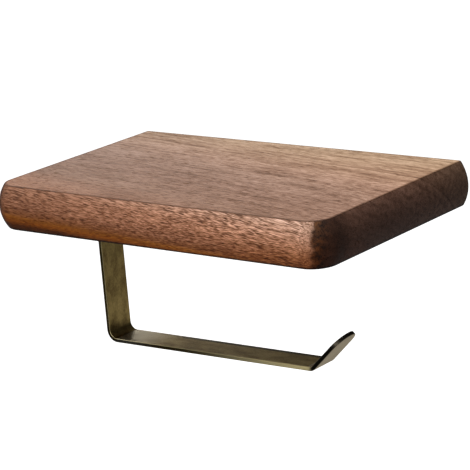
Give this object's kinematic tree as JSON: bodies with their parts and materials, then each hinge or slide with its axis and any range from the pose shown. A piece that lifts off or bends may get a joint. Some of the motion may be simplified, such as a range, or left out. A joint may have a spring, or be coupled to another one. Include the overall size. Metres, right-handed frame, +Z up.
{
  "type": "toilet paper holder",
  "caption": "Wall-hung toilet paper holder: a solid walnut shelf with a bent antique-brass strip hook for the roll, on keyhole plates that lift off their wall screws.",
  "frame": {"origin": "centre of the board's back face, which lies flat on the wall", "axes": "+X right along the wall as seen from the room, +Y into the wall, +Z up"},
  "size_m": [0.2, 0.145, 0.0923],
  "materials": {
    "walnut": "oiled, satin",
    "antique_brass": "brushed, aged",
    "brass_screw": "aged",
    "zinc_plate": "zinc plated",
    "steel_screw": "zinc plated",
    "nylon_plug": "matte"
  },
  "bodies": {
    "wall_fixings": {"wall_screw_left": "steel_screw", "wall_screw_right": "steel_screw", "wall_plug_left": "nylon_plug", "wall_plug_right": "nylon_plug"},
    "shelf": {"shelf_board": "walnut", "roll_hook": "antique_brass", "hook_screw_left": "brass_screw", "hook_screw_right": "brass_screw", "keyhole_plate_left": "zinc_plate", "plate_screw_left_outer": "steel_screw", "plate_screw_left_inner": "steel_screw", "keyhole_plate_right": "zinc_plate", "plate_screw_right_inner": "steel_screw", "plate_screw_right_outer": "steel_screw"}
  },
  "joints": [
    {"name": "lift_off", "type": "slide", "parent": "wall_fixings", "child": "shelf", "axis": [0, 0, 1], "range_m": [0, 0.005]}
  ]
}
